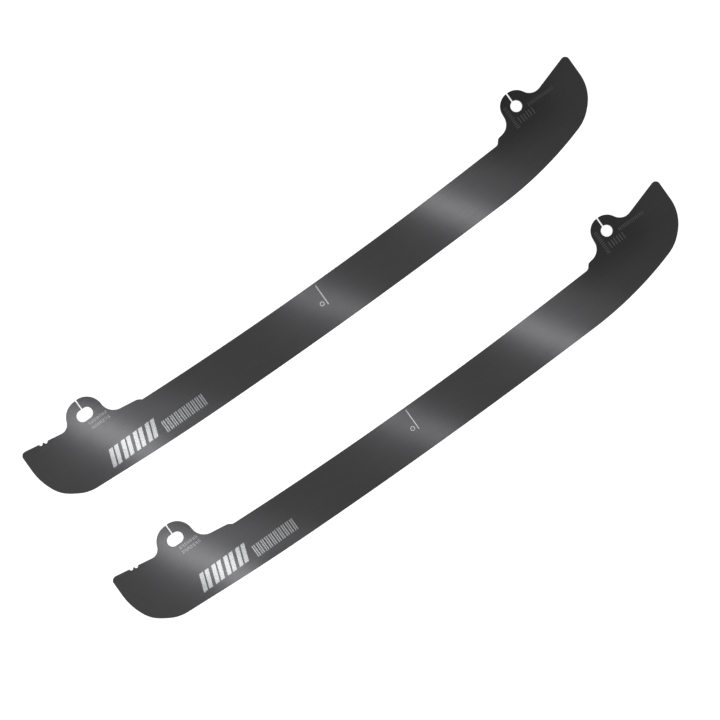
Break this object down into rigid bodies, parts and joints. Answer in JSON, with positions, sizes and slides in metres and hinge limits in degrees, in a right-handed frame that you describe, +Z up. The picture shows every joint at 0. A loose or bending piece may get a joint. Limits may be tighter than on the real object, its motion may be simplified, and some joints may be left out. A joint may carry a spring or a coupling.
{
  "type": "ice hockey skate runner pair",
  "caption": "Pair of flat steel ice-hockey skate runners, each with a curved hollow-ground ice edge and two eared lugs with slit eyes that clip into a blade holder.",
  "frame": {"origin": "centre of the pair's bounding box, on the underside that lies on the table", "axes": "+X along the runners towards their toes, +Y across them towards their ears, +Z up out of the flat sides"},
  "size_m": [0.2806, 0.1016, 0.003],
  "materials": {
    "black_coated_steel": "satin black coating over ground steel"
  },
  "bodies": {
    "left_runner": {"left_runner": "black_coated_steel"},
    "right_runner": {"right_runner": "black_coated_steel"}
  },
  "joints": [
    {"name": "right_runner_lift", "type": "slide", "parent": "left_runner", "child": "right_runner", "axis": [0, 0, 1], "range_m": [0, 0.1]}
  ]
}
